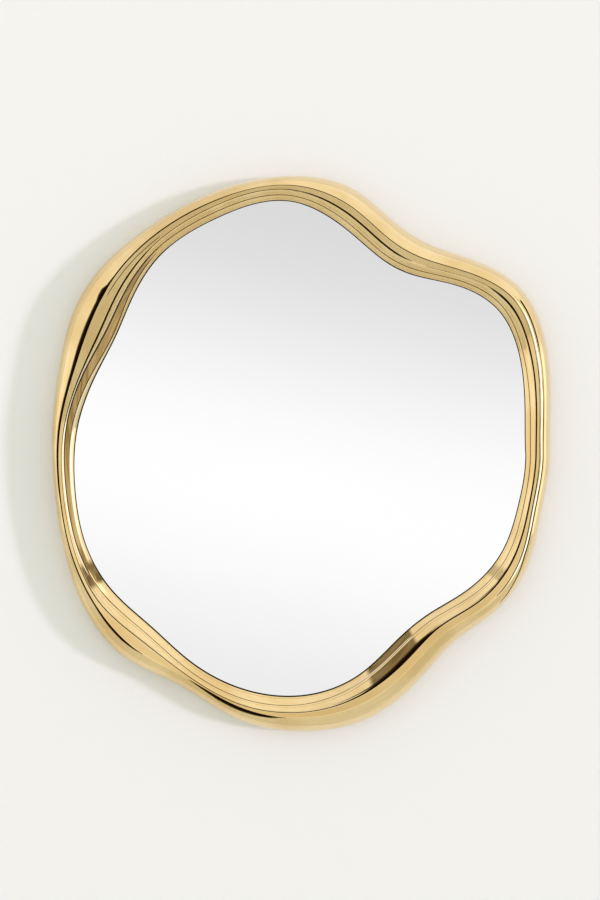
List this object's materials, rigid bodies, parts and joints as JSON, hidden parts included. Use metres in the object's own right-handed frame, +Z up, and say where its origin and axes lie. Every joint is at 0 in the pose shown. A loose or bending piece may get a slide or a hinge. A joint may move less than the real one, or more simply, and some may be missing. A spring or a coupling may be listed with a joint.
{
  "type": "wall mirror",
  "caption": "Round-ish wall mirror in a polished gold frame of freeform wavy outline, with rolling ridges, backing board, ring hangers and bumpers.",
  "frame": {"origin": "middle of the outline, on the wall plane that the bumpers touch", "axes": "+Z up, +X to the right as seen from the front, -Y out of the wall towards the viewer"},
  "size_m": [0.6862, 0.048, 0.7639],
  "materials": {
    "gold_metal": "polished",
    "mirror_glass": "polished",
    "board": "matte",
    "foam": "matte",
    "screw_steel": "satin",
    "hanger_steel": "gloss",
    "bumper_rubber": "matte"
  },
  "bodies": {
    "mirror": {"frame": "gold_metal", "mirror_glass": "mirror_glass", "foam_pads": "foam", "backing_board": "board", "board_screws": "screw_steel", "left_hanger_strap": "hanger_steel", "right_hanger_strap": "hanger_steel", "left_strap_screws": "screw_steel", "right_strap_screws": "screw_steel", "left_lower_bumper": "bumper_rubber", "right_lower_bumper": "bumper_rubber", "left_upper_bumper": "bumper_rubber", "right_upper_bumper": "bumper_rubber"},
    "left_ring_body": {"left_ring": "hanger_steel"},
    "right_ring_body": {"right_ring": "hanger_steel"}
  },
  "joints": [
    {"name": "left_ring_hinge", "type": "hinge", "parent": "mirror", "child": "left_ring_body", "pos_m": [-0.23, -0.00585, 0.185], "axis": [-1, 0, 0], "range_deg": [0, 183]},
    {"name": "right_ring_hinge", "type": "hinge", "parent": "mirror", "child": "right_ring_body", "pos_m": [0.23, -0.00585, 0.185], "axis": [-1, 0, 0], "range_deg": [0, 183]}
  ]
}
